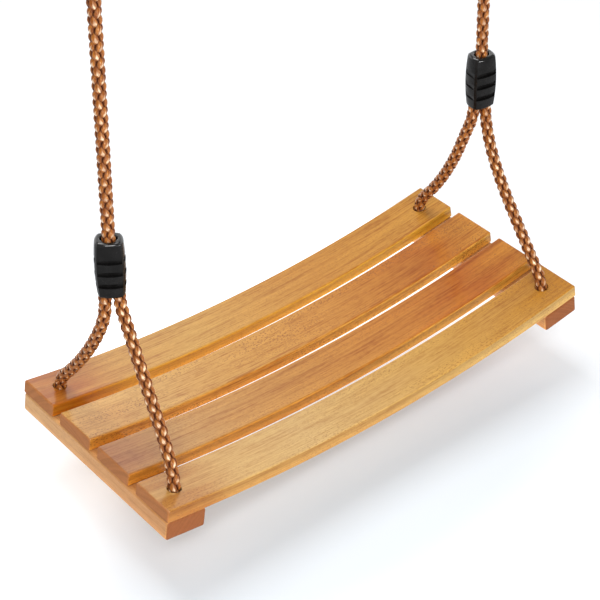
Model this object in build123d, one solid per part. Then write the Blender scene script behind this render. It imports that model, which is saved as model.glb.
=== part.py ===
"""Child's slatted swing seat, hung on two braided ropes from a pair of beam hooks.

Frame: origin on the underside of the beam, midway between the two hooks.
+X runs along the slats, +Y to the back of the seat, +Z up.  Millimetres.
"""
import os
from math import asin, cos, degrees, radians, sin, tan

from build123d import *

# ---------------------------------------------------------------- driving dimensions
# Seat
SLAT_LENGTH = 443.0        # end to end, straight across the curve
SLAT_WIDTH = 42.7
SLAT_THICK = 12.0
SLAT_GAP = 10.7
SLAT_SAG = 19.0            # how far the middle lies below the ends
SLAT_ROUND = 1.5           # rounding along the slat's edges
BEARER_WIDTH = 37.5
BEARER_THICK = 17.5
BEARER_ROUND = 2.5
BEARER_INSET = 0.3         # bearer's outer face, in from the slat ends
SEAT_DROP = 583.0          # beam to the slats' top at mid-length

# Rope holes
HOLE_DIA = 12.0
HOLE_FROM_END = 20.9       # along the slat
HOLE_TOP_ROUND = 1.2
ROUTED_EDGE = 8.0          # rounding of the hole's lower edge, where the rope turns

# Wood screws, from below through the bearers
SCREW_HEAD_DIA = 7.6
SCREW_DIA = 3.8
SCREW_LENGTH = 25.0
SCREW_HEAD_RIM = 0.4
SCREW_POINT = 4.0
SCREW_FROM_BEARER_EDGE = 6.75
SCREW_FROM_SLAT_EDGE = 7.0
RECESS_LENGTH = 4.6        # cross recess in the head
RECESS_WIDTH = 0.9
RECESS_DEPTH = 1.6

# Rope
ROPE_DIA = 10.0
SEAT_GAP = 0.3             # between the rope and what it bears on
OPEN_PIVOT_GAP = 0.8       # the same at the right holes, where the sway linkage is open
LEG_SPREAD = 10.3          # the two ropes' centres, side by side in a clamp
MOUTH_BEND = 8.5           # the leg bends into its hole this far above the slat
FOOT_DROP = 8.0            # the legs part this far below their clamp
FOOT_BEND = 6.5            # length of rope given to that bend, either side
NECK_BEND = 2.5            # the same where an eye leaves its clamp
BEND_SCALE = 0.45          # share of its shorter run that any other bend takes at a corner
ROUND_SCALE = 0.99         # share of a run that the two arcs of one round bend take

# Rope clamps: a barrel of two half shells
CLAMP_LENGTH = 50.0
CLAMP_WIDTH = 24.2         # across the pair of ropes, at the barrel's middle
CLAMP_DEPTH = 20.5
CLAMP_END_SCALE = 0.89     # ends are this much smaller than the middle
CLAMP_BULGE = 1.6          # crown of the wide panels
CLAMP_SIDE_BULGE = 1.0     # crown of the narrow panels
CLAMP_CORNER_X = 1.3       # flat strip at each corner, measured along the width
CLAMP_CORNER_Y = 2.0
CLAMP_RIM = 2.4            # rounding of the barrel's rims
CLAMP_MOUTH_SCALE = 0.56   # recess round the single rope
CLAMP_MOUTH_DEPTH = 4.0
CLAMP_MOUTH_RIM = 0.9
SLOT_HEIGHT = 4.4
SLOT_PITCH = 11.0
SLOT_SHIFT = 1.7           # the three slots sit below the middle
SLOT_DEPTH = 3.2           # flat floor, below the crown of its panel
SIDE_SLOT_DEPTH = 1.0
SLOT_MARGIN = 0.3          # plain panel left at each end of a slot
PEG_DIA = 3.0
PEG_LENGTH = 3.5
PEG_X = 8.4
PEG_Z = 15.0
PEG_CLEARANCE = 0.1
CHANNEL_CLEARANCE = 0.1
CROSSING_TOP = 14.0        # above the clamp's middle, where the main rope starts to one side
CROSSING_FOOT = 1.0        # and where it is there
TAIL_CLEAR = 8.0           # the other rope's cut end stops this far below the crossing
LEFT_CLAMP_DROP = 313.1    # ring to the clamp's middle, along the rope
RIGHT_CLAMP_DROP = 298.1
LEFT_CLAMP_TURN = -36.0    # degrees about the rope
RIGHT_CLAMP_TURN = -10.0
EYE_CLAMP_DROP = 56.0      # ring to the middle of the clamp that closes the eye
ROPE_LEAN = 1.5            # degrees, the ropes close in towards the beam

# Rings and hooks
RING_WIRE = 8.0
RING_OUTER = 60.0
HOOK_SPACING = 366.0
HOOK_WIRE = 10.0
HOOK_BEND = 17.0           # centre-line radius of the hook
HOOK_NECK = 7.0            # beam to where the wire turns aside
HOOK_SHOULDER = 14.0       # beam to where it turns down again
HOOK_SHOULDER_BEND = 10.2
HOOK_DROP = 47.3           # beam to the wire's centre at the bottom of the hook
HOOK_TIP_DROP = 24.0       # beam to the end of the hook
COLLAR_DIA = 22.0
COLLAR_THICK = 3.0
COLLAR_CHAMFER = 1.0
SHANK_LENGTH = 25.0        # plain shank, in the beam
THREAD_CORE_DIA = 7.6
THREAD_LENGTH = 35.0
THREAD_POINT = 8.0
THREAD_TIP_DIA = 0.8

# Legs between a lower clamp and its hole: (y, height above the slats' top at mid-length).
LEG_POINTS = {
    ("left", "front"): [(-13.5, 130.5), (-37.5, 94.0), (-64.5, 55.0)],
    ("left", "rear"): [(7.0, 125.0), (28.5, 86.5), (55.5, 50.0)],
    ("right", "front"): [(-9.0, 130.0), (-26.0, 96.5), (-55.0, 56.0)],
    ("right", "rear"): [(13.5, 134.0), (29.0, 98.0), (53.0, 57.0)],
}

# ---------------------------------------------------------------- worked-out dimensions
SIDES = {"left": -1, "right": 1}
ENDS = {"front": -1, "rear": 1}
CLAMP_DROP = {"left": LEFT_CLAMP_DROP, "right": RIGHT_CLAMP_DROP}
CLAMP_TURN = {"left": LEFT_CLAMP_TURN, "right": RIGHT_CLAMP_TURN}
SLAT_NAMES = ["front", "front_middle", "rear_middle", "rear"]

ROPE_R = ROPE_DIA / 2
HOLE_R = HOLE_DIA / 2
SEAT_DEPTH = len(SLAT_NAMES) * SLAT_WIDTH + (len(SLAT_NAMES) - 1) * SLAT_GAP
SLAT_R = ((SLAT_LENGTH / 2) ** 2 + SLAT_SAG**2) / (2 * SLAT_SAG)
END_ANGLE = asin(SLAT_LENGTH / 2 / SLAT_R)
HOLE_ANGLE = END_ANGLE - HOLE_FROM_END / SLAT_R
HOLE_X = SLAT_R * sin(HOLE_ANGLE)
HOLE_Z = -SEAT_DROP + SLAT_R * (1 - cos(HOLE_ANGLE))
HOLE_Y = (SEAT_DEPTH - SLAT_WIDTH) / 2
UNDERSIDE = SLAT_THICK + BEARER_THICK
RING_MID_R = (RING_OUTER - RING_WIRE) / 2
RING_BORE_R = RING_OUTER / 2 - RING_WIRE
RING_DROP = HOOK_DROP + RING_BORE_R - HOOK_WIRE / 2 - SEAT_GAP
PIVOT_DROP = RING_DROP + RING_MID_R
EYE_R = RING_WIRE / 2 + SEAT_GAP + ROPE_R
ROPE_X = HOOK_SPACING / 2
HALF_SPREAD = LEG_SPREAD / 2
CLAMP_HALF = CLAMP_LENGTH / 2
TAIL_TOP = CROSSING_FOOT - TAIL_CLEAR
UNDER_BEND = HOLE_R + ROUTED_EDGE

# ---------------------------------------------------------------- helpers
nodes = {}
radii_report = {}


def keep(name, shape):
    """File a finished sub-part under its node name."""
    shape.label = name
    nodes[name] = shape


def tube(points, bends, dia, name):
    """A round bar or rope along straight runs joined by tangent arcs."""
    path = FilletPolyline(*points, radius=bends)
    start = Plane(origin=path @ 0, z_dir=path % 0)
    radii_report[name] = [round(r, 1) for r in bends]
    return sweep(start * Circle(dia / 2), path=path)


def rope_bends(points, tangents=None):
    """Radius at each corner: the arc's tangent length over the tangent of half the turn.

    The tangent length is a share of the shorter run, or what tangents gives, where the
    rope has to be straight again inside a clamp or has a ring to go round.
    """
    bends = []
    for i in range(1, len(points) - 1):
        before = Vector(points[i]) - Vector(points[i - 1])
        after = Vector(points[i + 1]) - Vector(points[i])
        half_turn = radians(before.get_angle(after)) / 2
        reach = (tangents or {}).get(i, BEND_SCALE * min(before.length, after.length))
        bends.append(reach / tan(half_turn))
    return bends


# ---------------------------------------------------------------- places
def rope_frame(side):
    """The ring end of a rope: local -Z runs down the rope."""
    s = SIDES[side]
    return Pos(s * ROPE_X, 0, -PIVOT_DROP) * Rot(0, -s * ROPE_LEAN, 0)


def clamp_frame(side):
    """The middle of a lower clamp: its ropes lie side by side along local X."""
    return rope_frame(side) * Pos(0, 0, -CLAMP_DROP[side]) * Rot(0, 0, CLAMP_TURN[side])


def eye_clamp_frame(side):
    """The middle of the clamp under an eye, with its pair of ropes upwards."""
    return rope_frame(side) * Pos(0, 0, -EYE_CLAMP_DROP) * Rot(180, 0, 0)


def seat_frame(side):
    """A seat end: origin on the slats' top, on the line through its two rope holes."""
    s = SIDES[side]
    return Pos(s * HOLE_X, 0, HOLE_Z) * Rot(0, -s * degrees(HOLE_ANGLE), 0)


def placed(frame, points):
    """Points of a local frame, in the part's own frame."""
    return [(frame * Pos(*point)).position for point in points]


# ---------------------------------------------------------------- seat
def screw_profile(extra=0.0):
    """Half outline of a countersunk wood screw, head at z = 0, point upwards."""
    head, core = SCREW_HEAD_DIA / 2 + extra, SCREW_DIA / 2 + extra
    neck = SCREW_HEAD_RIM + head - core
    return Polyline((0, 0), (head, 0), (head, SCREW_HEAD_RIM), (core, neck),
                    (core, SCREW_LENGTH - SCREW_POINT), (0, SCREW_LENGTH + extra), close=True)


def screw_blank(extra=0.0):
    return revolve(Plane.XZ * make_face(screw_profile(extra)), Axis.Z)


def make_screw():
    recess = Box(RECESS_LENGTH, RECESS_WIDTH, 2 * RECESS_DEPTH)
    recess += Box(RECESS_WIDTH, RECESS_LENGTH, 2 * RECESS_DEPTH)
    return screw_blank() - recess


def bearer_centre(side):
    """The bearer's centre line, from the rope holes, in the seat frame."""
    return SIDES[side] * (HOLE_FROM_END - BEARER_INSET - BEARER_WIDTH / 2)


def slat_centres():
    first = -(SEAT_DEPTH - SLAT_WIDTH) / 2
    return [first + i * (SLAT_WIDTH + SLAT_GAP) for i in range(len(SLAT_NAMES))]


def screw_places(side, y):
    """Two screws, set diagonally, where the slat at y crosses a bearer."""
    x = bearer_centre(side)
    dx = BEARER_WIDTH / 2 - SCREW_FROM_BEARER_EDGE
    dy = SLAT_WIDTH / 2 - SCREW_FROM_SLAT_EDGE
    return [seat_frame(side) * Pos(x + k * dx, y + k * dy, -UNDERSIDE) for k in (-1, 1)]


def slat_blank():
    """A slat bent to an even curve, its ends cut square to it."""
    top, under = SLAT_R, SLAT_R + SLAT_THICK

    def at(radius, angle):
        return (radius * sin(angle), SLAT_R - SEAT_DROP - radius * cos(angle))

    outline = [
        ThreePointArc(at(top, -END_ANGLE), at(top, 0), at(top, END_ANGLE)),
        Line(at(top, END_ANGLE), at(under, END_ANGLE)),
        ThreePointArc(at(under, END_ANGLE), at(under, 0), at(under, -END_ANGLE)),
        Line(at(under, -END_ANGLE), at(top, -END_ANGLE)),
    ]
    blank = extrude(Plane.XZ * make_face(outline), SLAT_WIDTH / 2, both=True)
    return fillet(blank.edges(), SLAT_ROUND)


def rope_hole():
    """The bore and the rounded rim at the slat's top, in the seat frame."""
    bore = Cylinder(HOLE_R, 4 * UNDERSIDE)
    rim_r = HOLE_R + HOLE_TOP_ROUND
    rim = Pos(0, 0, -HOLE_TOP_ROUND / 2) * Cylinder(rim_r, HOLE_TOP_ROUND)
    rounding = Pos(0, 0, -HOLE_TOP_ROUND) * Torus(rim_r, HOLE_TOP_ROUND)
    return bore + (rim - rounding)


def routed_mouth():
    """The rounded lower edge of the bearer's hole, in the seat frame."""
    mouth_r = HOLE_R + ROUTED_EDGE
    ring = Pos(0, 0, ROUTED_EDGE / 2) * Cylinder(mouth_r, ROUTED_EDGE)
    rounding = Pos(0, 0, ROUTED_EDGE) * Torus(mouth_r, ROUTED_EDGE)
    return Pos(0, 0, -UNDERSIDE) * (ring - rounding)


def make_seat():
    blank = slat_blank()
    for name, y in zip(SLAT_NAMES, slat_centres()):
        slat = Pos(0, y, 0) * blank
        for side in SIDES:
            if abs(y) > HOLE_Y - SLAT_WIDTH / 2:
                slat -= seat_frame(side) * Pos(0, y, 0) * rope_hole()
            for place in screw_places(side, y):
                slat -= place * screw_blank()
        keep(f"seat_slat_{name}", slat)

    for side in SIDES:
        bar = Box(BEARER_WIDTH, SEAT_DEPTH, BEARER_THICK)
        bar = fillet(bar.edges(), BEARER_ROUND)
        centre_z = -SLAT_THICK - BEARER_THICK / 2
        bearer = seat_frame(side) * Pos(bearer_centre(side), 0, centre_z) * bar
        for end in ENDS.values():
            place = seat_frame(side) * Pos(0, end * HOLE_Y, 0)
            bearer -= place * Cylinder(HOLE_R, 4 * UNDERSIDE)
            bearer -= place * routed_mouth()
        for y in slat_centres():
            for place in screw_places(side, y):
                bearer -= place * screw_blank()
        keep(f"{side}_bearer", bearer)

    screw = make_screw()
    places = [p for side in SIDES for y in slat_centres() for p in screw_places(side, y)]
    keep("bearer_screws", Compound(children=[place * screw for place in places]))


# ---------------------------------------------------------------- rope clamps
def clamp_section(width, depth, z):
    """Barrel section: crowned panels joined by a flat strip at each corner."""
    a, b = width / 2, depth / 2
    x, y = a - CLAMP_SIDE_BULGE - CLAMP_CORNER_X, b - CLAMP_BULGE - CLAMP_CORNER_Y
    wide, narrow = b - CLAMP_BULGE, a - CLAMP_SIDE_BULGE
    edges = [
        ThreePointArc((-x, wide), (0, b), (x, wide)),
        Line((x, wide), (narrow, y)),
        ThreePointArc((narrow, y), (a, 0), (narrow, -y)),
        Line((narrow, -y), (x, -wide)),
        ThreePointArc((x, -wide), (0, -b), (-x, -wide)),
        Line((-x, -wide), (-narrow, -y)),
        ThreePointArc((-narrow, -y), (-a, 0), (-narrow, y)),
        Line((-narrow, y), (-x, wide)),
    ]
    return Plane.XY.offset(z) * make_face(edges)


def slot_floors(width, depth, z):
    """Section through the slots' flat floors."""
    return Plane.XY.offset(z) * Rectangle(width - 2 * SIDE_SLOT_DEPTH, depth - 2 * SLOT_DEPTH)


def clamp_loft(section):
    """From the lower end, through the fuller middle, to the top."""
    end = (CLAMP_END_SCALE * CLAMP_WIDTH, CLAMP_END_SCALE * CLAMP_DEPTH)
    return loft([section(*end, -CLAMP_HALF), section(CLAMP_WIDTH, CLAMP_DEPTH, 0),
                 section(*end, CLAMP_HALF)])


def main_channel_points(over=0.0):
    """The rope that passes right through a clamp, from the top to one side of the foot."""
    return [(0, 0, CLAMP_HALF + over), (0, 0, CROSSING_TOP),
            (HALF_SPREAD, 0, CROSSING_FOOT), (HALF_SPREAD, 0, -CLAMP_HALF - over)]


def clamp_shells():
    """Front and back half of a clamp, split through both ropes."""
    barrel = clamp_loft(clamp_section)
    rims = barrel.edges().group_by(Axis.Z)[0] + barrel.edges().group_by(Axis.Z)[-1]
    body = fillet(rims, CLAMP_RIM)

    k = CLAMP_MOUTH_SCALE
    mouth = clamp_section(k * CLAMP_WIDTH, k * CLAMP_DEPTH, CLAMP_HALF - CLAMP_MOUTH_DEPTH)
    body -= extrude(mouth, 2 * CLAMP_MOUTH_DEPTH)
    top = body.faces().sort_by(Axis.Z)[-1]
    body = fillet(top.inner_wires()[0].edges(), CLAMP_MOUTH_RIM)

    core = clamp_loft(slot_floors)
    panel_x = CLAMP_WIDTH - 2 * (CLAMP_SIDE_BULGE + CLAMP_CORNER_X + SLOT_MARGIN)
    panel_y = CLAMP_DEPTH - 2 * (CLAMP_BULGE + CLAMP_CORNER_Y + SLOT_MARGIN)
    for i in (-1, 0, 1):
        z = i * SLOT_PITCH - SLOT_SHIFT
        slots = Pos(0, 0, z) * (Box(panel_x, 2 * CLAMP_DEPTH, SLOT_HEIGHT)
                                + Box(2 * CLAMP_WIDTH, panel_y, SLOT_HEIGHT))
        body -= slots - core

    channel_dia = ROPE_DIA + 2 * CHANNEL_CLEARANCE
    points = main_channel_points(over=ROPE_R)
    body -= tube(points, rope_bends(points), channel_dia, "clamp channel")
    tail_place = Pos(-HALF_SPREAD, 0, TAIL_TOP - CLAMP_HALF)
    body -= tail_place * Cylinder(channel_dia / 2, CLAMP_LENGTH)

    half = Box(2 * CLAMP_WIDTH, CLAMP_DEPTH, 2 * CLAMP_LENGTH)
    front = body & (Pos(0, -CLAMP_DEPTH / 2, 0) * half)
    back = body & (Pos(0, CLAMP_DEPTH / 2, 0) * half)
    for x in (-PEG_X, PEG_X):
        place = Pos(x, PEG_LENGTH / 2, PEG_Z) * Rot(90, 0, 0)
        front += place * Cylinder(PEG_DIA / 2, PEG_LENGTH)
        back -= place * Cylinder(PEG_DIA / 2 + PEG_CLEARANCE, PEG_LENGTH + 2 * PEG_CLEARANCE)
    return front, back


def make_clamps():
    front, back = clamp_shells()
    for side in SIDES:
        for name, frame in (("seat_clamp", clamp_frame(side)), ("eye_clamp", eye_clamp_frame(side))):
            keep(f"{side}_{name}_front", frame * front)
            keep(f"{side}_{name}_back", frame * back)


# ---------------------------------------------------------------- ropes
def eye_points():
    """The eye round the ring's wire, in the rope frame, from its cut end to the far leg."""
    lean = asin((EYE_R - HALF_SPREAD) / (EYE_CLAMP_DROP - CLAMP_HALF))
    turn = (180 + 2 * degrees(lean)) / 3
    reach = EYE_R / cos(radians(turn / 2))
    corners = [90 + turn, 90, 90 - turn]
    loop = [(reach * cos(radians(c)), 0, reach * sin(radians(c))) for c in corners]
    first = loop[0]
    neck_z = first[2] - (-HALF_SPREAD - first[0]) / tan(lean)
    cut_z = -EYE_CLAMP_DROP - TAIL_TOP
    return ([(-HALF_SPREAD, 0, cut_z), (-HALF_SPREAD, 0, neck_z)] + loop
            + [(HALF_SPREAD, 0, neck_z)])


def leg_points(side, end):
    """From the foot of a lower clamp down to the hole, in the part's own frame."""
    along = -ENDS[end] * HALF_SPREAD
    foot = placed(clamp_frame(side), [(along, 0, -CLAMP_HALF - FOOT_DROP)])[0]
    y = ENDS[end] * HOLE_Y
    bend, mouth = placed(seat_frame(side), [(0, y, MOUTH_BEND), (0, y, 0)])
    points = [foot]
    for leg_y, height in LEG_POINTS[(side, end)]:
        z = height - SEAT_DROP
        share = (foot.Z - z) / (foot.Z - mouth.Z)
        points.append(Vector(foot.X + share * (mouth.X - foot.X), leg_y, z))
    return points + [bend, mouth]


def make_ropes():
    ball = Sphere(ROPE_R)
    sockets = {"left": Sphere(ROPE_R + SEAT_GAP), "right": Sphere(ROPE_R + OPEN_PIVOT_GAP)}
    for side in SIDES:
        # Main rope: cut end in the eye clamp, eye, down through both clamps, front leg.
        channel = main_channel_points()
        points = placed(rope_frame(side), eye_points())
        points += placed(eye_clamp_frame(side), channel[1:3][::-1])
        points += placed(clamp_frame(side), channel[1:3])
        foot = len(points)
        points += leg_points(side, "front")
        eye_reach = ROUND_SCALE / 2 * (points[3] - points[2]).length
        tangents = {1: NECK_BEND, 2: eye_reach, 3: eye_reach, 4: eye_reach, 5: NECK_BEND,
                    foot: FOOT_BEND}
        rope = tube(points, rope_bends(points, tangents), ROPE_DIA, f"{side}_rope")
        keep(f"{side}_rope", rope + Pos(*points[-1]) * ball)

        # Tail: from its cut end in the lower clamp down the rear leg.
        top = placed(clamp_frame(side), [(-HALF_SPREAD, 0, TAIL_TOP)])
        points = top + leg_points(side, "rear")
        tail = tube(points, rope_bends(points, {1: FOOT_BEND}), ROPE_DIA, f"{side}_rope_tail")
        keep(f"{side}_rope_tail", tail + Pos(*points[-1]) * ball)

        # Under the seat: down the front hole, along the bearer, up the rear hole.
        depth = UNDERSIDE + SEAT_GAP + ROPE_R
        ys = (-HOLE_Y, -HOLE_Y, HOLE_Y, HOLE_Y)
        zs = (0, -depth, -depth, 0)
        points = placed(seat_frame(side), [(0, y, z) for y, z in zip(ys, zs)])
        under = tube(points, [UNDER_BEND, UNDER_BEND], ROPE_DIA, f"{side}_rope_under_seat")
        for mouth in (points[0], points[-1]):
            under -= Pos(*mouth) * sockets[side]
        keep(f"{side}_rope_under_seat", under)


# ---------------------------------------------------------------- rings and hooks
def hook():
    """Screw hook: collar under the beam, plain shank and pointed thread core in it."""
    x = HOOK_BEND
    points = [(0, 0, SHANK_LENGTH), (0, 0, -HOOK_NECK), (-x, 0, -HOOK_SHOULDER),
              (-x, 0, -HOOK_DROP), (x, 0, -HOOK_DROP), (x, 0, -HOOK_TIP_DROP)]
    bends = 2 * [HOOK_SHOULDER_BEND] + 2 * [ROUND_SCALE * HOOK_BEND]
    body = tube(points, bends, HOOK_WIRE, "hook")
    body += Pos(*points[-1]) * Sphere(HOOK_WIRE / 2)
    collar = Pos(0, 0, -COLLAR_THICK / 2) * Cylinder(COLLAR_DIA / 2, COLLAR_THICK)
    body += chamfer(collar.edges().group_by(Axis.Z)[0], COLLAR_CHAMFER)
    core_r = THREAD_CORE_DIA / 2
    body += Pos(0, 0, SHANK_LENGTH + THREAD_LENGTH / 2) * Cylinder(core_r, THREAD_LENGTH)
    body += Pos(0, 0, SHANK_LENGTH + THREAD_LENGTH + THREAD_POINT / 2) * Cone(
        core_r, THREAD_TIP_DIA / 2, THREAD_POINT)
    return body


def make_fittings():
    shape = hook()
    ring = Rot(0, 90, 0) * Torus(RING_MID_R, RING_WIRE / 2)
    for side, s in SIDES.items():
        keep(f"{side}_hook", Pos(s * ROPE_X, 0, 0) * shape)
        keep(f"{side}_ring", Pos(s * ROPE_X, 0, -RING_DROP) * ring)


# ---------------------------------------------------------------- build and write
make_seat()
make_clamps()
make_ropes()
make_fittings()

os.makedirs("parts", exist_ok=True)
for node, shape in nodes.items():
    export_step(shape, f"parts/{node}.step")
for node, bends in radii_report.items():
    print(f"{node}: bend radii {bends} mm")
print(f"ring wire to hole: x {ROPE_X:.2f} to {HOLE_X:.2f}, z {-PIVOT_DROP:.2f} to {HOLE_Z:.2f}")
print(f"seat depth {SEAT_DEPTH:.1f}, sway ratio {-ROPE_X / HOLE_X:.5f}")
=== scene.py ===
"""A child's slatted swing seat on two braided ropes: finishes, ropes and studio."""
from math import asin, cos, pi, sin

import bpy
import numpy as np
from mathutils import Matrix, Vector


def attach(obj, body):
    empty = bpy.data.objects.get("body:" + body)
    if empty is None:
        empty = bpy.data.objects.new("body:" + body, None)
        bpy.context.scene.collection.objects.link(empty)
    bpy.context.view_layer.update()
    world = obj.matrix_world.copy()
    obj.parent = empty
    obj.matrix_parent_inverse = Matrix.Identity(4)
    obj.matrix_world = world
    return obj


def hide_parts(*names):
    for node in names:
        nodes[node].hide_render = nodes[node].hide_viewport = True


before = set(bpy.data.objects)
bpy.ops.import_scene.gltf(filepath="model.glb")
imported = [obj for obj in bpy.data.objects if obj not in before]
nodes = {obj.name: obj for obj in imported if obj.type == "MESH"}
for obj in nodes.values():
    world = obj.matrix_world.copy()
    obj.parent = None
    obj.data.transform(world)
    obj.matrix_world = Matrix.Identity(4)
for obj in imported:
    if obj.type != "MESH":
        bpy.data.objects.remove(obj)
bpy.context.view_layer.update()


# ---------------------------------------------------------------- camera
# A short telephoto lens, above and to the left of the seat, looking down its length.
CAMERA_PLACE = Vector((-0.7692, -0.9412, 0.4057))
CAMERA_RIGHT = Vector((0.7737, -0.6336, -0.0087))
CAMERA_UP = Vector((0.3918, 0.4676, 0.7924))
CAMERA_BACK = Vector((-0.4980, -0.6164, 0.6100))

FOCAL_LENGTH = 109.1        # mm
SENSOR_WIDTH = 36.0
FARTHEST_SEEN = 60.0

lens = bpy.data.cameras.new("camera")
lens.lens, lens.sensor_width, lens.clip_end = FOCAL_LENGTH, SENSOR_WIDTH, FARTHEST_SEEN
camera = bpy.data.objects.new("camera", lens)
axes = Matrix((CAMERA_RIGHT, CAMERA_UP, CAMERA_BACK)).transposed()
camera.matrix_world = Matrix.Translation(CAMERA_PLACE) @ axes.to_4x4()
bpy.context.scene.collection.objects.link(camera)
bpy.context.scene.camera = camera


# ---------------------------------------------------------------- ropes
# Hemp-coloured polypropylene, braided from eight strands that pass over and under one
# another.  Each rope's eye is closed round its ring by a clamp; the rope runs straight down
# to a second clamp, and goes on from there as two legs to the holes in the outer slats.
BRAID_TURN = 0.052          # length in which a strand goes once round the rope
STRANDS_EACH_WAY = 4
STRAND_CENTRE = 0.00250     # from the rope's centre line
STRAND_RISE = 0.00140       # a strand lies this much further out where it is on top,
STRAND_SPREAD = 0.00070     # is this much wider there,
STRAND_LAG = 0.16           # and runs nearer to the rope's own direction
STRAND_HALF_WIDTH = 0.00215
STRAND_HALF_THICK = 0.00150
STRAND_SIDES = 12
STRAND_STEP = 0.0008
LOBES_APART = 30            # so that no two strands show the same streaks
CORE_R = 0.0021
CORE_STREAKS = 1000         # to the metre

ROPE_BROWN = (0.200, 0.046, 0.005)
ROPE_GOLD = (0.400, 0.140, 0.024)
# a painted highlight on the strands' crowns
ROPE_PAINTED_HIGHLIGHT = (0.97, 0.74, 0.50)
# painted shade down the strands' sides and in the crevices between them
ROPE_PAINTED_SHADE = (0.075, 0.010, 0.001)
ROPE_SHEEN = (1.0, 0.84, 0.60, 1.0)

# Each rope's way, by the points that pull its line: from the eye's cut end round the ring,
# through the eye clamp and the seat clamp, and down the front leg into its hole.  The tail
# starts at its cut end in the seat clamp and goes down the back leg.  The third length runs
# under the bearer, from the front hole to the back one.
LEFT_ROPE = [
    (-0.1894, 0, -0.1388), (-0.1890, 0, -0.1212), (-0.1929, 0, -0.0851), (-0.1827, 0, -0.0790),
    (-0.1729, 0, -0.0856), (-0.1787, 0, -0.1215), (-0.1793, 0, -0.1471), (-0.1848, 0, -0.1600),
    (-0.1852, 0, -0.1740), (-0.1904, 0, -0.3750), (-0.1908, 0, -0.3890),
    (-0.1870, -0.0030, -0.4021), (-0.1879, -0.0030, -0.4361), (-0.1895, -0.0135, -0.4525),
    (-0.1931, -0.0375, -0.4890), (-0.1970, -0.0645, -0.5280), (-0.1996, -0.0801, -0.5590),
    (-0.2013, -0.0801, -0.5704)]
LEFT_TAIL = [
    (-0.1955, 0.0030, -0.4099), (-0.1962, 0.0030, -0.4359), (-0.1970, 0.0070, -0.4580),
    (-0.1984, 0.0285, -0.4965), (-0.1997, 0.0555, -0.5330), (-0.1996, 0.0801, -0.5590),
    (-0.2013, 0.0801, -0.5704)]
RIGHT_ROPE = [
    (0.1791, 0, -0.1391), (0.1787, 0, -0.1215), (0.1729, 0, -0.0856), (0.1827, 0, -0.0790),
    (0.1929, 0, -0.0851), (0.1890, 0, -0.1212), (0.1896, 0, -0.1468), (0.1848, 0, -0.1600),
    (0.1852, 0, -0.1740), (0.1900, 0, -0.3600), (0.1904, 0, -0.3740),
    (0.1958, -0.0009, -0.3869), (0.1967, -0.0009, -0.4209), (0.1976, -0.0090, -0.4530),
    (0.1986, -0.0260, -0.4865), (0.1997, -0.0550, -0.5270), (0.1996, -0.0801, -0.5590),
    (0.2013, -0.0801, -0.5704)]
RIGHT_TAIL = [
    (0.1859, 0.0009, -0.3951), (0.1866, 0.0009, -0.4211), (0.1893, 0.0135, -0.4490),
    (0.1928, 0.0290, -0.4850), (0.1968, 0.0530, -0.5260), (0.1996, 0.0801, -0.5590),
    (0.2013, 0.0801, -0.5704)]
LEFT_UNDER = [
    (-0.2009, -0.0801, -0.5674), (-0.2063, -0.0801, -0.6018),
    (-0.2063, 0.0801, -0.6018), (-0.2009, 0.0801, -0.5674)]
RIGHT_UNDER = [
    (0.2009, -0.0801, -0.5674), (0.2063, -0.0801, -0.6018),
    (0.2063, 0.0801, -0.6018), (0.2009, 0.0801, -0.5674)]


class Value:
    """A shader socket that takes part in arithmetic."""

    def __init__(self, shading, socket):
        self.shading, self.socket = shading, socket

    def maths(self, operation, *operands):
        settings = {"operation": operation}
        return self.shading.node("ShaderNodeMath", settings, dict(enumerate(operands)))

    def __add__(self, other):
        return self.maths("ADD", self, other)

    def __sub__(self, other):
        return self.maths("SUBTRACT", self, other)

    def __rsub__(self, other):
        return self.maths("SUBTRACT", other, self)

    def __mul__(self, other):
        return self.maths("MULTIPLY", self, other)

    def __pow__(self, other):
        return self.maths("POWER", self, other)

    def __abs__(self):
        return self.maths("ABSOLUTE", self)

    def from_whole(self):
        """How far the value is from the nearest whole number."""
        return self.maths("PINGPONG", self, 0.5)

    __radd__, __rmul__ = __add__, __mul__


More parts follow.
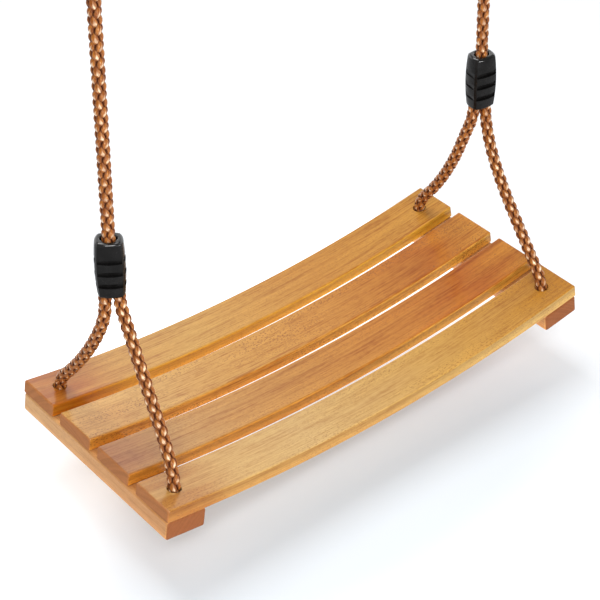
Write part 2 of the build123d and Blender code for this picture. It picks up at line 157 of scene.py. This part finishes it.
class Shading:
    """A tree of shader nodes, to which each method adds one node or a few."""

    def __init__(self, tree):
        self.tree = tree

    def put(self, socket, value):
        """Link a value to a socket, or set it there."""
        if isinstance(value, Value):
            self.tree.links.new(value.socket, socket)
        elif isinstance(value, tuple) and len(value) == 3 and socket.type == "RGBA":
            socket.default_value = (*value, 1.0)
        else:
            socket.default_value = value

    def node(self, kind, settings, values, out=0):
        """Any node, from its type, its settings or ramp stops, and its sockets' values."""
        made = self.tree.nodes.new(kind)
        for name, setting in settings.items():
            if name == "stops":
                while len(made.color_ramp.elements) < len(setting):
                    made.color_ramp.elements.new(0.5)
                for element, (place, colour) in zip(made.color_ramp.elements, setting):
                    element.position, element.color = place, (*colour, 1.0)
            else:
                setattr(made, name, setting)
        for socket, value in values.items():
            self.put(made.inputs[socket], value)
        return Value(self, made.outputs[out])

    def place(self, kind="Object"):
        return self.node("ShaderNodeTexCoord", {}, {}, out=kind)

    def parts(self, vector):
        return [self.node("ShaderNodeSeparateXYZ", {}, {0: vector}, out=i) for i in range(3)]

    def point(self, x, y, z):
        return self.node("ShaderNodeCombineXYZ", {}, {0: x, 1: y, 2: z})

    def noise(self, vector, scale, detail=2.0, rough=0.5):
        return self.node("ShaderNodeTexNoise", {}, {
            "Vector": vector, "Scale": scale, "Detail": detail, "Roughness": rough})

    def step(self, value, low, high, least=0.0, most=1.0):
        """A smooth rise from least to most as value goes from low to high."""
        return self.node("ShaderNodeMapRange", {"interpolation_type": "SMOOTHSTEP"}, {
            "Value": value, "From Min": low, "From Max": high, "To Min": least, "To Max": most})

    def mix(self, share, first, second, how="MIX"):
        settings = {"data_type": "RGBA", "blend_type": how}
        return self.node("ShaderNodeMix", settings, {0: share, 6: first, 7: second}, out=2)

    def bump(self, height, depth, strength=1.0):
        return self.node("ShaderNodeBump", {}, {
            "Height": height, "Distance": depth, "Strength": strength})


class Finish(Shading):
    """A material, built up round one Principled shader."""

    def __init__(self, name, **constants):
        self.material = bpy.data.materials.new(name)
        self.material.use_nodes = True
        super().__init__(self.material.node_tree)
        self.show(**constants)

    def show(self, **values):
        """Link or set the shader's own sockets."""
        shader = self.tree.nodes["Principled BSDF"]
        for socket, value in values.items():
            self.put(shader.inputs[socket.replace("_", " ")], value)
        return self.material


def rope_finish():
    """Glossy filaments along each strand, a painted highlight on its crowns, painted shade down
    its sides.

    The map's first number is whole where a strand lies on top, and its second goes from 0
    to 1 round the strand, with 0.5 on the outer face.
    """
    rope = Finish("rope_polypropylene", IOR=1.5, Specular_IOR_Level=0.5, Specular_Tint=ROPE_SHEEN)
    lobe, across, _ = rope.parts(rope.node("ShaderNodeUVMap", {"uv_map": "strand"}, {}))
    streaks = rope.point(lobe * 1.1, across * 17.0, 0.0)
    filaments = rope.noise(streaks, 1.0, detail=3.0, rough=0.6)
    fleck = rope.noise(rope.place(), 330.0)
    tone = rope.step(filaments + (fleck - 0.5) * 0.4, 0.36, 0.66)
    # Painted shade: darker down each strand's sides and where it goes under the next strand.
    side = rope.step(abs(across - 0.5) * 0.8 + lobe.from_whole() * 0.60, 0.11, 0.29)
    # Painted highlight: a pale patch on the strands' crowns, a little off their middles.
    off_painted_highlight = abs(across - 0.45) + (lobe - 0.08).from_whole() * 0.55
    painted_highlight = rope.step(off_painted_highlight, 0.135, 0.02)
    lit = rope.mix(tone, ROPE_BROWN, ROPE_GOLD)
    lit = rope.mix(painted_highlight * (tone * 0.7 + 0.3), lit, ROPE_PAINTED_HIGHLIGHT)
    return rope.show(
        Base_Color=rope.mix(side * 0.95, lit, ROPE_PAINTED_SHADE),
        Roughness=rope.step(tone, 0.0, 1.0, 0.42, 0.24) + side * 0.4,
        Normal=rope.bump(filaments * 0.6 + fleck * 0.4, 0.00030, 0.7))


ROPE_MATERIAL = rope_finish()


def rope_line(name, route):
    """Even steps along the smooth line that the rope takes between its points."""
    data = bpy.data.curves.new(name + "_route", "CURVE")
    data.dimensions = "3D"
    spline = data.splines.new("NURBS")
    spline.points.add(len(route) - 1)
    for point, place in zip(spline.points, route):
        point.co = (*place, 1.0)
    spline.order_u = 3                      # straight runs, joined by even bends
    spline.use_endpoint_u = True
    spline.resolution_u = 24
    guide = bpy.data.objects.new(name + "_route", data)
    mesh = bpy.data.meshes.new_from_object(guide)
    line = np.array([v.co for v in mesh.vertices], float)
    bpy.data.meshes.remove(mesh)
    bpy.data.objects.remove(guide)
    bpy.data.curves.remove(data)
    runs = np.concatenate([[0], np.cumsum(np.linalg.norm(np.diff(line, axis=0), axis=1))])
    steps = np.linspace(0, runs[-1], int(runs[-1] / STRAND_STEP) + 1)
    return steps, np.stack([np.interp(steps, runs, line[:, k]) for k in range(3)], axis=1)


def unit(vectors):
    return vectors / np.linalg.norm(vectors, axis=-1, keepdims=True)


def frames_along(line):
    """Two directions square to the line at each step, carried along without twisting."""
    tangents = unit(np.gradient(line, axis=0))
    askew = (0.0, 1.0, 0.31)                # no rope starts in this direction
    side = unit(np.cross(tangents[0], askew))
    sides = []
    for tangent in tangents:
        side = unit(side - tangent * (side @ tangent))
        sides.append(side)
    sides = np.array(sides)
    return tangents, sides, np.cross(tangents, sides)


def sweep_rings(rings, points, faces):
    """Add one closed tube, given as rings of points, to a growing mesh."""
    start, (count, sides) = len(points), rings.shape[:2]
    last = start + (count - 1) * sides
    points.extend(rings.reshape(-1, 3).tolist())
    for ring in range(start, last, sides):
        for j in range(sides):
            a, b = ring + j, ring + (j + 1) % sides
            faces.append((a, b, b + sides, a + sides))
    faces.append(tuple(range(start + sides - 1, start - 1, -1)))
    faces.append(tuple(range(last, last + sides)))


def strand_map(along, across):
    """The same tube's map, face by face in the order in which sweep_rings makes them."""
    uvs = [((here, low), (here, high), (there, high), (there, low))
           for here, there in zip(along, along[1:]) for low, high in zip(across, across[1:])]
    uvs.append(tuple((along[0], place) for place in across[-2::-1]))
    uvs.append(tuple((along[-1], place) for place in across[:-1]))
    return uvs


def braided_rope(name, route, first_turn):
    """The rope's core and its eight strands as one mesh, and the line that they follow."""
    steps, line = rope_line(name, route)
    tangents, sides, backs = frames_along(line)
    points, faces, uvs = [], [], []
    around = np.linspace(0, 2 * pi, STRAND_SIDES + 1)[:-1]
    across = np.linspace(0, 1, STRAND_SIDES + 1)
    turn = first_turn + 2 * pi * steps / BRAID_TURN
    for way in (1, -1):
        for strand in range(STRANDS_EACH_WAY):
            angle = strand * 2 * pi / STRANDS_EACH_WAY + way * turn
            angle = (angle - STRAND_LAG * np.sin(STRANDS_EACH_WAY * turn))[:, None]
            out = np.cos(angle) * sides + np.sin(angle) * backs
            on_top = way * np.cos(STRANDS_EACH_WAY * turn)[:, None]
            centre = line + out * (STRAND_CENTRE + STRAND_RISE * on_top)
            heading = unit(np.gradient(centre, axis=0))
            out = unit(out - heading * (out * heading).sum(1, keepdims=True))
            width = np.cross(heading, out) * (STRAND_HALF_WIDTH + STRAND_SPREAD * on_top)
            rings = np.stack([centre - width * sin(a) - out * STRAND_HALF_THICK * cos(a)
                              for a in around], axis=1)
            sweep_rings(rings, points, faces)
            # The strands laid the other way lie on top half a lobe later.
            lobes = STRANDS_EACH_WAY * turn / (2 * pi) + (0.5 if way < 0 else 0.0)
            uvs += strand_map(lobes + LOBES_APART * strand, across)
    core = np.stack([line + CORE_R * (cos(a) * sides + sin(a) * backs) for a in around], axis=1)
    sweep_rings(core, points, faces)
    uvs += strand_map(steps * CORE_STREAKS, np.zeros(STRAND_SIDES + 1))
    mesh = bpy.data.meshes.new(name)
    mesh.from_pydata(points, [], faces)
    layer = mesh.uv_layers.new(name="strand")
    layer.data.foreach_set("uv", np.array([c for face in uvs for c in face], np.float32).ravel())
    mesh.shade_smooth()
    mesh.materials.append(ROPE_MATERIAL)
    rope = bpy.data.objects.new(name, mesh)
    bpy.context.scene.collection.objects.link(rope)
    return rope, line


def hang_rope(name, route, body, first_turn):
    """Put the braided rope in its CAD node's place, on the body that it moves with."""
    rope, line = braided_rope(name + "_braid", route, first_turn)
    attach(rope, body)
    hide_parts(name)


hang_rope("left_rope", LEFT_ROPE, "left_rope", 0.4)
hang_rope("left_rope_tail", LEFT_TAIL, "left_rope", 1.1)
hang_rope("right_rope", RIGHT_ROPE, "right_rope", 0.0)
hang_rope("right_rope_tail", RIGHT_TAIL, "right_rope", 0.7)
hang_rope("left_rope_under_seat", LEFT_UNDER, "seat", 0.2)
hang_rope("right_rope_under_seat", RIGHT_UNDER, "seat", 0.9)


# ---------------------------------------------------------------- slats
# Four hardwood slats, bent to an even curve, rounded along their edges and oiled.  Each is
# sawn from another board, so each has its own tone, figure and pores.
SLAT_LENGTH = 0.443
SLAT_SAG = 0.019
SEAT_DROP = 0.583
SLAT_WIDTH = 0.0427
SLAT_PITCH = SLAT_WIDTH + 0.0107
SLAT_BEND_R = ((SLAT_LENGTH / 2) ** 2 + SLAT_SAG**2) / (2 * SLAT_SAG)
SLAT_END_ANGLE = asin(SLAT_LENGTH / 2 / SLAT_BEND_R)

GRAIN_DARK = (0.62, 0.43, 0.29)         # what the grain's dark lines take from the wood,
GRAIN_LIGHT = (1.16, 1.20, 1.22)        # what its light lines add,
BROWNED = (0.66, 0.38, 0.14)            # and what the browner patches at the left end take
RIM_TOP_PAINTED_SHADE, RIM_FOOT_PAINTED_LIGHT = 0.88, 1.48          # painted shade high up on the edges, painted light low down
RIM_FAR_PAINTED_LIGHT = (1.05, 1.20, 1.35)          # and painted light towards the right end (a bearer's back end)
PORE_BROWN = (0.20, 0.065, 0.020)
SLAT_END_GRAIN = (0.40, 0.152, 0.049)
END_RING = 0.84


def shaded(colour, factor):
    return tuple(factor * part for part in colour)


def wood_finish(name, tones, edge, end_grain, middle, pith, ring_width, streak, pores, half,
                seed, along="x", left_browning=0.0):
    """Oiled wood.

    tones are colours along the board, left to right or front to back, edge is that of its
    long edges, painted darker high up and lighter low down and towards the right end (the back
    end on a bearer), painted shade and light, and end_grain that of its sawn ends; middle is
    the board's middle and pith the tree's heart, across the board; ring_width is one year's
    growth; half is half the board's length; streak, pores and stain are how strongly the
    grain, the pores and the browner patches towards the left end show.
    """
    wood = Finish(name, IOR=1.5, Specular_IOR_Level=0.10, Coat_Roughness=0.16, Coat_IOR=1.5)
    x, y, z = wood.parts(wood.place())
    if along == "x":
        length, side = x, y
        up = z + SEAT_DROP - SLAT_BEND_R
        ends = abs(x) * cos(SLAT_END_ANGLE) + up * sin(SLAT_END_ANGLE)
        end_mask = wood.step(ends, -0.0012, -0.0004)
        # The boards are steamed and bent, so the grain follows the curve of the seat.
        z = SLAT_BEND_R - SEAT_DROP - (x * x + up ** 2) ** 0.5
    else:
        length, side = y, x
        end_mask = wood.step(abs(y) - half, -0.0016, -0.0006)
    edge_mask = wood.step(abs(side - middle), SLAT_WIDTH / 2 - 0.0005, SLAT_WIDTH / 2 - 0.0001)
    share = (length + half) * (1 / (2 * half))

    # Growth rings, slightly wavy along the board, seen as lines on the faces.
    waver = wood.noise(wood.point(length * 4.0, side * 16.0 + seed, z * 16.0), 1.0)
    deep, wide = z - pith[1], side - pith[0]
    radius = (wide * wide + deep * deep) ** 0.5 + (waver - 0.5) * 0.003
    rings = wood.noise(wood.point(radius * (1 / ring_width), seed * 1.7, 0.0), 1.0, 3.0, 0.55)
    fine = wood.noise(wood.point(length * 26.0, side * 800.0, z * 800.0 + seed), 1.0, 3.0, 0.6)
    broad = wood.noise(wood.point(length * 9.0 + seed, side * 75.0, z * 75.0), 1.0)
    mottle = wood.noise(wood.point(length * 160.0, side * 420.0, z * 420.0 + seed), 1.0)
    figure = rings * 0.40 + fine * 0.55 + broad * 0.20 + mottle * 0.20

    # The board's own tones; its edges, with painted shade high up and painted light low down
    # and towards the right end (the back end on a bearer); and browner patches at the left end.
    stops = [(i / (len(tones) - 1), tone) for i, tone in enumerate(tones)]
    base = wood.node("ShaderNodeValToRGB", {"stops": stops}, {0: share + (broad - 0.5) * 0.22})
    # Painted light and shade on the edges.
    low = wood.step(z, -SEAT_DROP - 0.0016, -SEAT_DROP - 0.0170)
    rim_painted_shade_and_light = wood.mix(low, shaded(edge, RIM_TOP_PAINTED_SHADE), shaded(edge, RIM_FOOT_PAINTED_LIGHT))
    rim_painted_shade_and_light = wood.mix(wood.step(length, -0.06, 0.10), rim_painted_shade_and_light, RIM_FAR_PAINTED_LIGHT, "MULTIPLY")
    base = wood.mix(edge_mask, base, rim_painted_shade_and_light)
    patchy = wood.step(broad, 0.35, 0.60) * 0.6 + 0.4
    browned = wood.step(length, 0.085 - half, 0.028 - half) * patchy
    base = wood.mix(browned * left_browning, base, BROWNED, "MULTIPLY")

    bold = wood.step(share, 0.55, 0.92, streak, min(1.0, streak * 1.25))
    face = wood.mix(wood.step(figure, 0.72, 0.50) * bold, base, GRAIN_DARK, "MULTIPLY")
    face = wood.mix(wood.step(figure, 0.68, 0.86) * 0.9, face, GRAIN_LIGHT, "MULTIPLY")

    # Pores: short dark dashes along the grain, thicker in some bands than in others.
    dashes = wood.point(length * 330.0, side * 980.0 + seed, z * 980.0)
    cells = wood.node("ShaderNodeTexVoronoi", {"feature": "F1"}, {
        "Vector": dashes, "Scale": 1.0, "Randomness": 1.0})
    band = wood.step(broad * 0.5 + rings * 0.5, 0.42, 0.60)
    pore = wood.step(cells, 0.42, 0.20) * band * pores
    face = wood.mix(pore, face, PORE_BROWN)

    end_rings = wood.step(rings + (mottle - 0.5) * 0.25, 0.35, 0.62)
    sawn = wood.mix(end_rings, shaded(end_grain, END_RING), end_grain)
    height = fine * 0.5 + mottle * 0.2 + (1 - pore) * 0.6
    return wood.show(
        Base_Color=wood.mix(end_mask, face, sawn),
        Roughness=wood.step(figure, 0.4, 0.8, 0.50, 0.40) + end_mask * 0.2,
        Coat_Weight=(1 - end_mask) * (1 - edge_mask * 0.7) * 0.85 + 0.05,
        Normal=wood.bump(height, 0.00012, 0.6))


SLAT_LOOKS = {
    "seat_slat_rear": dict(
        tones=[(0.486, 0.211, 0.034), (0.512, 0.276, 0.061),
               (0.474, 0.206, 0.035), (0.499, 0.233, 0.035)],
        edge=(0.62, 0.285, 0.026), pith=(0.02, -0.66), ring_width=0.0032, streak=0.80,
        pores=0.35, seed=1.0, left_browning=0.9),
    "seat_slat_rear_middle": dict(
        tones=[(0.554, 0.313, 0.092), (0.536, 0.297, 0.084),
               (0.517, 0.270, 0.062), (0.505, 0.243, 0.049),
               (0.499, 0.218, 0.040), (0.455, 0.172, 0.025),
               (0.395, 0.117, 0.013), (0.551, 0.226, 0.030)],
        edge=(0.66, 0.300, 0.044), pith=(0.05, -0.70), ring_width=0.0028, streak=0.90,
        pores=1.0, seed=2.3, left_browning=0.35),
    "seat_slat_front_middle": dict(
        tones=[(0.343, 0.139, 0.042), (0.414, 0.213, 0.062),
               (0.445, 0.208, 0.047), (0.449, 0.198, 0.039),
               (0.457, 0.184, 0.031), (0.452, 0.165, 0.024),
               (0.391, 0.107, 0.011), (0.506, 0.187, 0.021)],
        edge=(0.66, 0.275, 0.037), pith=(-0.06, -0.64), ring_width=0.0030, streak=0.90,
        pores=0.45, seed=3.9, left_browning=0.25),
    "seat_slat_front": dict(
        tones=[(0.531, 0.311, 0.095), (0.524, 0.328, 0.123),
               (0.509, 0.278, 0.063), (0.427, 0.174, 0.016)],
        edge=(0.44, 0.225, 0.052), pith=(-0.10, -0.70), ring_width=0.0036, streak=0.70,
        pores=0.60, seed=5.2, left_browning=0.75),
}


def dress(node, material):
    """Give a CAD node its finish in every slot."""
    for slot in nodes[node].material_slots:
        slot.material = material


for i, (slat, look) in enumerate(SLAT_LOOKS.items()):
    dress(slat, wood_finish(slat + "_wood", end_grain=SLAT_END_GRAIN, half=SLAT_LENGTH / 2,
                            middle=(1.5 - i) * SLAT_PITCH, **look))


# ---------------------------------------------------------------- bearers
# Two square-sawn hardwood battens across the ends, on which the slats are screwed.  Their
# long faces are all as dull as the slats' edges, with the same painted shade high up and
# painted light low down and towards the back end; their ends show dark end grain.
BEARER_LENGTH = 3 * SLAT_PITCH + SLAT_WIDTH
BEARER_TONE = (0.660, 0.310, 0.104)
BEARER_END_GRAIN = (0.26, 0.084, 0.027)
BEARER_LOOKS = {
    "left_bearer": dict(pith=(-0.14, -0.66), seed=7.1),
    "right_bearer": dict(pith=(0.15, -0.68), seed=8.4),
}

for bearer, look in BEARER_LOOKS.items():
    dress(bearer, wood_finish(
        bearer + "_wood", tones=[BEARER_TONE] * 2, edge=BEARER_TONE,
        end_grain=BEARER_END_GRAIN, middle=0.0, ring_width=0.0026, streak=0.5, pores=0.3,
        half=BEARER_LENGTH / 2, along="y", **look))


# ---------------------------------------------------------------- screws
# Yellow zinc-plated countersunk screws, driven up through the bearers into the slats.
SCREW_BRIGHT = (0.80, 0.68, 0.40)
SCREW_DULL = (0.62, 0.50, 0.27)


def plated_finish(name, bright, dull, rough):
    """Zinc plating: slightly clouded metal with fine drawing marks."""
    plate = Finish(name, Metallic=1.0)
    place = plate.place()
    cloud = plate.noise(place, 160.0, 3.0)
    marks = plate.noise(place, 2600.0)
    return plate.show(
        Base_Color=plate.mix(plate.step(cloud, 0.35, 0.7), bright, dull),
        Roughness=plate.step(cloud + marks * 0.3, 0.4, 0.9, rough, rough + 0.16),
        Normal=plate.bump(marks, 0.00004, 0.5))


dress("bearer_screws", plated_finish("screw_plating", SCREW_BRIGHT, SCREW_DULL, 0.26))


# ---------------------------------------------------------------- rope clamps
# Two-part barrels moulded in black plastic, closed over the ropes on pegs.  The faces have
# a fine spark texture, and the rims round the upper mouths are polished by handling.
CLAMP_BLACK = (0.0046, 0.0042, 0.0040)
CLAMP_WORN = (0.0090, 0.0084, 0.0082)
MOUTH_LOW, MOUTH_HIGH = -0.3805, -0.3785    # the polish starts between these heights,
MOUTH_RISE = 0.0395         # and higher on the right clamp, by this much to a metre of x


def clamp_finish():
    """Black plastic, with gloss on what faces up at the seat clamps' mouths and above."""
    plastic = Finish("clamp_plastic", IOR=1.49, Specular_IOR_Level=0.11, Coat_Roughness=0.12)
    place = plastic.place()
    spark = plastic.noise(place, 2400.0)
    cloud = plastic.noise(place, 120.0, 3.0)
    tone = plastic.step(cloud * 0.8 + spark * 0.2, 0.35, 0.7)
    x, _, z = plastic.parts(place)
    mouth = plastic.step(z - x * MOUTH_RISE, MOUTH_LOW, MOUTH_HIGH)
    facing_up = plastic.parts(plastic.place("Normal"))[2]
    return plastic.show(
        Base_Color=plastic.mix(tone, CLAMP_BLACK, CLAMP_WORN),
        Roughness=plastic.step(cloud, 0.35, 0.7, 0.20, 0.30),
        Coat_Weight=plastic.step(facing_up, 0.10, 0.50, 0.0, 0.95) * mouth,
        Normal=plastic.bump(spark, 0.00005, 0.5))


CLAMP_MATERIAL = clamp_finish()
for side in ("left", "right"):
    for clamp in ("seat_clamp", "eye_clamp"):
        for half in ("front", "back"):
            dress(f"{side}_{clamp}_{half}", CLAMP_MATERIAL)


# ---------------------------------------------------------------- rings and hooks
# Welded rings of round wire on forged screw hooks, all bright zinc-plated.  The hooks'
# wood thread is rolled on the core above the plain shank.
ZINC_BRIGHT = (0.43, 0.44, 0.46)
ZINC_DULL = (0.31, 0.32, 0.335)
HOOK_X = 0.183
THREAD_FOOT = 0.027
THREAD_TOP = 0.066
THREAD_PITCH = 0.0042
THREAD_ROOT_R = 0.0037
THREAD_CREST_R = 0.0050
THREAD_SUNK = 0.0006         # the wedge starts this deep inside the core,
THREAD_HALF_ROOT = 0.0011    # half as high as this there, and
THREAD_HALF_CREST = 0.00015  # half as high as this at its sharp edge
THREAD_TAPER = 0.010         # the thread runs out over this length at its top
THREAD_TIP_R = 0.35          # what is left of the core's radius there
THREAD_LEAST = 0.02          # and of the thread's height at its ends
THREAD_STEPS = 28            # to a turn

ZINC = plated_finish("zinc_plating", ZINC_BRIGHT, ZINC_DULL, 0.27)
for side in ("left", "right"):
    dress(side + "_ring", ZINC)
    dress(side + "_hook", ZINC)


def hook_thread(name, x):
    """A wood screw's thread: a thin wedge wound round the core, fading out at both ends."""
    turns = (THREAD_TOP - THREAD_FOOT) / THREAD_PITCH
    count = int(turns * THREAD_STEPS)
    rings = []
    for i in range(count + 1):
        z = THREAD_FOOT + (THREAD_TOP - THREAD_FOOT) * i / count
        angle = 2 * pi * turns * i / count
        taper = (THREAD_TOP - z) / THREAD_TAPER
        root = THREAD_ROOT_R * min(1.0, THREAD_TIP_R + (1 - THREAD_TIP_R) * taper)
        height = max(min(1.0, i / THREAD_STEPS, taper), THREAD_LEAST)
        crest = root + (THREAD_CREST_R - THREAD_ROOT_R) * height
        rings.append([(x + r * cos(angle), r * sin(angle), z + rise) for r, rise in (
            (root - THREAD_SUNK, -THREAD_HALF_ROOT), (crest, -THREAD_HALF_CREST),
            (crest, THREAD_HALF_CREST), (root - THREAD_SUNK, THREAD_HALF_ROOT))])
    points, faces = [], []
    sweep_rings(np.array(rings), points, faces)
    mesh = bpy.data.meshes.new(name)
    mesh.from_pydata(points, [], faces)
    mesh.materials.append(ZINC)
    thread = bpy.data.objects.new(name, mesh)
    bpy.context.scene.collection.objects.link(thread)
    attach(thread, "hangers")


hook_thread("left_hook_thread", -HOOK_X)
hook_thread("right_hook_thread", HOOK_X)


# ---------------------------------------------------------------- studio
# A light table just under the seat, in a room with bright walls behind on the right, and a
# dim ceiling and front, so that the ropes keep their contrast.  The key light is above and
# behind; a soft one stands front left, and a small low one in front puts the glints on the
# ropes.  The table's glow is painted weaker in the seat's shade, a painted shadow, and
# painted white behind the seat, a painted pool of light where no lamp stands.
FLOOR_Z = -0.650
FLOOR_REACH = 12.0
TABLE_PALE = (0.64, 0.665, 0.69)
GLOW_OPEN = (0.31, 0.31, 0.31)
GLOW_PAINTED_SHADOW = (0.085, 0.118, 0.145)
PAINTED_SHADOW_X, PAINTED_SHADOW_Y = -0.03, -0.10         # the middle of the painted shadow, an ellipse,
PAINTED_SHADOW_PER_X, PAINTED_SHADOW_PER_Y = 5.0, 11.5    # and one over its half axes
PAINTED_LIGHT_X, PAINTED_LIGHT_Y = 0.04, 0.13             # the middle of the painted pool of light behind the seat
PAINTED_LIGHT_WHITE = (1.0, 1.0, 1.0)

floor_mesh = bpy.data.meshes.new("floor")
corners = ((-1, -1), (1, -1), (1, 1), (-1, 1))
floor_mesh.from_pydata([(FLOOR_REACH * x, FLOOR_REACH * y, FLOOR_Z) for x, y in corners],
                       [], [(0, 1, 2, 3)])
floor = bpy.data.objects.new("floor", floor_mesh)
bpy.context.scene.collection.objects.link(floor)

table = Finish("light_table", Roughness=0.9, Emission_Strength=1.0)
x, y, _ = table.parts(table.place())
# Painted shadow: the table glows less in an ellipse under the seat's front.
off_painted_shadow = ((x - PAINTED_SHADOW_X) * PAINTED_SHADOW_PER_X) ** 2 + ((y - PAINTED_SHADOW_Y) * PAINTED_SHADOW_PER_Y) ** 2
glow = table.mix(table.step(off_painted_shadow ** 0.5, 0.9, 1.8), GLOW_PAINTED_SHADOW, GLOW_OPEN)
# Painted light: a white pool on the table behind the seat; no lamp stands there.
lamp = table.step(abs(y - PAINTED_LIGHT_Y), 0.16, 0.09) * table.step(abs(x - PAINTED_LIGHT_X), 0.24, 0.18)
floor_mesh.materials.append(
    table.show(Base_Color=TABLE_PALE, Emission_Color=table.mix(lamp, glow, PAINTED_LIGHT_WHITE)))

SEAT_MIDDLE = (0.0, 0.0, -0.57)


def soft_light(name, place, width, height, power):
    """A rectangular lamp that shines on the middle of the seat."""
    light = bpy.data.lights.new(name, "AREA")
    light.shape, light.size, light.size_y, light.energy = "RECTANGLE", width, height, power
    lamp = bpy.data.objects.new(name, light)
    lamp.location = place
    beam = Vector(SEAT_MIDDLE) - Vector(place)
    lamp.rotation_euler = beam.to_track_quat("-Z", "Y").to_euler()
    bpy.context.scene.collection.objects.link(lamp)


soft_light("key_light", (0.0, 0.60, 1.0), 0.9, 0.9, 15.0)
soft_light("front_light", (-1.0, -1.3, 0.9), 1.0, 0.8, 30.0)
soft_light("low_light", (-0.1, -2.0, -0.25), 0.45, 0.45, 22.0)

WALL_LIGHT = 1.70
CEILING_LIGHT = 0.32
FRONT_LIGHT = 0.25
BACKDROP_GREY = 0.62         # what the camera sees of the room, beyond the table's end
WALL_TOP = (0.46, 0.67)      # sines of the heights at which the walls go over to the ceiling
BRIGHT_SIDE = (0.63, 0.78, 0.0)
DIM_END, BRIGHT_END = -0.1, 0.45    # how far towards it the dim front ends

world = bpy.data.worlds.new("studio")
world.use_nodes = True
room = Shading(world.node_tree)
towards = room.place("Generated")
wall = room.step(room.parts(towards)[2], *WALL_TOP, WALL_LIGHT, CEILING_LIGHT)
facing = room.node("ShaderNodeVectorMath", {"operation": "DOT_PRODUCT"},
                   {0: towards, 1: BRIGHT_SIDE}, out="Value")
lit = room.step(facing, DIM_END, BRIGHT_END, FRONT_LIGHT, wall)
seen = room.node("ShaderNodeLightPath", {}, {}, out="Is Camera Ray")
light = room.node("ShaderNodeMix", {}, {"Factor": seen, "A": lit, "B": BACKDROP_GREY})
sky = world.node_tree.nodes["Background"]
room.put(sky.inputs["Color"], (1.0, 1.0, 1.0))
room.put(sky.inputs["Strength"], light)
bpy.context.scene.world = world
bpy.context.scene.view_settings.view_transform = "Standard"
